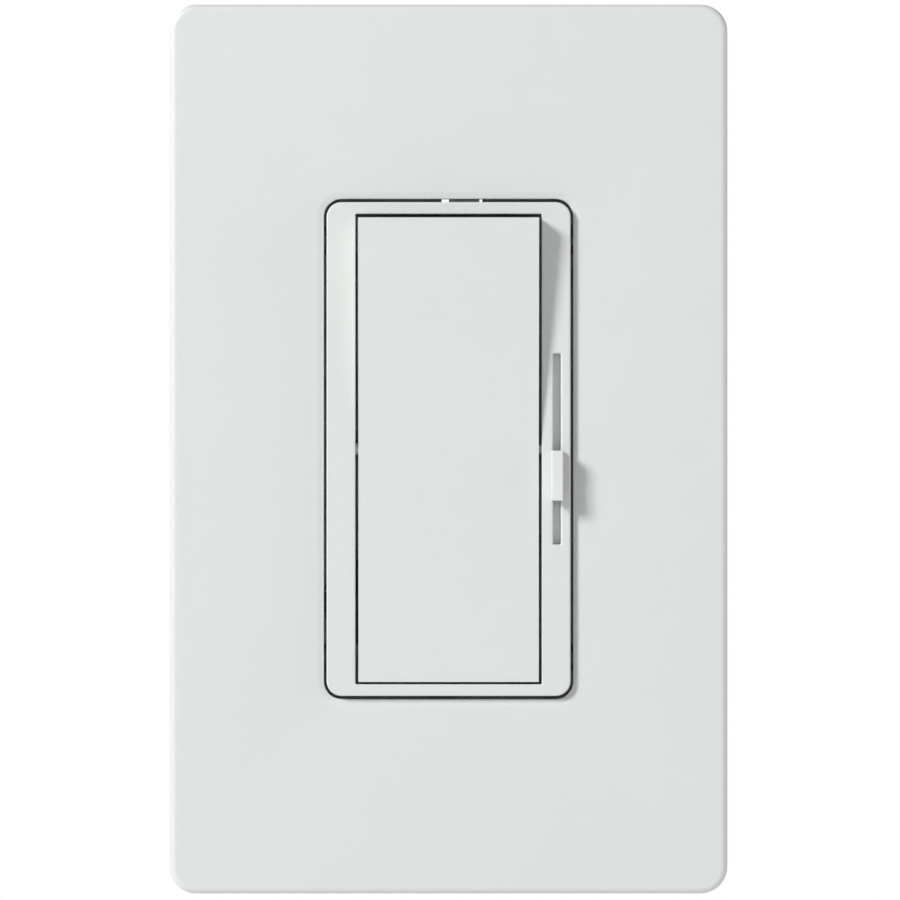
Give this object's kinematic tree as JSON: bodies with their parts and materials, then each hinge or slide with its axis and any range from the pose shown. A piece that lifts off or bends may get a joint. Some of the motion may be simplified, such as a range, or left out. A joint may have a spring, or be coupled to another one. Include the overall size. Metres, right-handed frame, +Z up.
{
  "type": "slide dimmer switch",
  "caption": "White decorator dimmer: rocker paddle, thin slide knob beside it, screwless wallplate, metal strap and a closed back housing with side screw terminals.",
  "frame": {"origin": "on the wall plane, midway between the two wall box screws", "axes": "+Z up, +Y into the wall, +X to the right of someone facing the dimmer"},
  "size_m": [0.0746, 0.0438, 0.119],
  "materials": {
    "white_plate": "satin moulded",
    "white_device": "fine satin moulded",
    "knob_white": "semi-gloss moulded",
    "shutter_white": "satin",
    "adapter_white": "textured moulded",
    "black_housing": "glass filled moulded",
    "dark_plastic": "moulded",
    "natural_nylon": "moulded nylon",
    "yoke_aluminium": "stamped",
    "zinc_steel": "zinc plated",
    "spring_steel": "drawn",
    "brass": "stamped",
    "contact_silver": "silver alloy",
    "green_screw": "green chromate",
    "black_screw": "black oxide",
    "board": "epoxy glass laminate",
    "fish_paper": "insulating paper",
    "ferrite": "sintered",
    "copper_wire": "enamelled winding",
    "yellow_case": "epoxy filled case",
    "blue_case": "dipped epoxy",
    "resistor_body": "lacquered",
    "phenolic": "carbon printed laminate",
    "trim_grey": "moulded"
  },
  "bodies": {
    "dimmer": {"wallplate_adapter": "adapter_white", "adapter_screws": "zinc_steel", "bezel": "white_device", "bezel_clip": "spring_steel", "slide_pot_body": "zinc_steel", "slide_pot_element": "phenolic", "trim_pot_body": "blue_case", "yoke": "yoke_aluminium", "mounting_screws": "zinc_steel", "screw_retainers": "fish_paper", "ground_screw": "green_screw", "back_housing": "black_housing", "housing_screws": "zinc_steel", "insulator_sheet": "fish_paper", "circuit_board": "board", "triac": "dark_plastic", "triac_pad": "natural_nylon", "triac_rivet": "zinc_steel", "choke_core": "ferrite", "choke_winding": "copper_wire", "film_capacitor": "yellow_case", "timing_capacitor": "blue_case", "varistor": "blue_case", "resistors": "resistor_body", "diac": "resistor_body", "thermal_fuse": "zinc_steel", "switch_base": "dark_plastic", "seesaw_cradle": "brass", "fixed_contacts": "contact_silver", "traveler_terminal_upper": "brass", "traveler_terminal_lower": "brass", "line_terminal": "brass", "line_terminal_screw": "black_screw", "traveler_terminal_screws": "brass", "terminal_clamps": "zinc_steel"},
    "wallplate": {"wallplate_cover": "white_plate"},
    "paddle": {"paddle": "white_device", "plunger_spring": "spring_steel"},
    "plunger": {"detent_plunger": "natural_nylon"},
    "seesaw": {"contact_seesaw": "brass", "seesaw_contacts": "contact_silver"},
    "slider": {"slider_knob": "knob_white", "slider_shutter": "shutter_white", "slide_pot_lever": "dark_plastic"},
    "trim_dial": {"trim_dial": "trim_grey"}
  },
  "joints": [
    {"name": "wallplate_lift", "type": "slide", "parent": "dimmer", "child": "wallplate", "axis": [0, -1, 0], "range_m": [0, 0.02]},
    {"name": "paddle_rock", "type": "hinge", "parent": "dimmer", "child": "paddle", "pos_m": [0, -0.007, 0], "axis": [1, 0, 0], "range_deg": [-5.55, 0]},
    {"name": "plunger_slide", "type": "slide", "parent": "paddle", "child": "plunger", "axis": [0, 0.9988, 0.0484], "range_m": [-0.0005, 0], "stiffness_N_per_m": 300, "springref_m": 0.001},
    {"name": "seesaw_rock", "type": "hinge", "parent": "dimmer", "child": "seesaw", "pos_m": [0, 0.0105, 0], "axis": [1, 0, 0], "range_deg": [0, 12]},
    {"name": "slider_travel", "type": "slide", "parent": "dimmer", "child": "slider", "axis": [0, 0, 1], "range_m": [-0.00585, 0.01295]},
    {"name": "trim_turn", "type": "hinge", "parent": "dimmer", "child": "trim_dial", "pos_m": [-0.01094, 0, -0.0206], "axis": [0, 1, 0], "range_deg": [-135, 135]}
  ],
  "couplings": [
    {"joint": "seesaw_rock", "follows": "paddle_rock", "ratio": -2.1622}
  ]
}
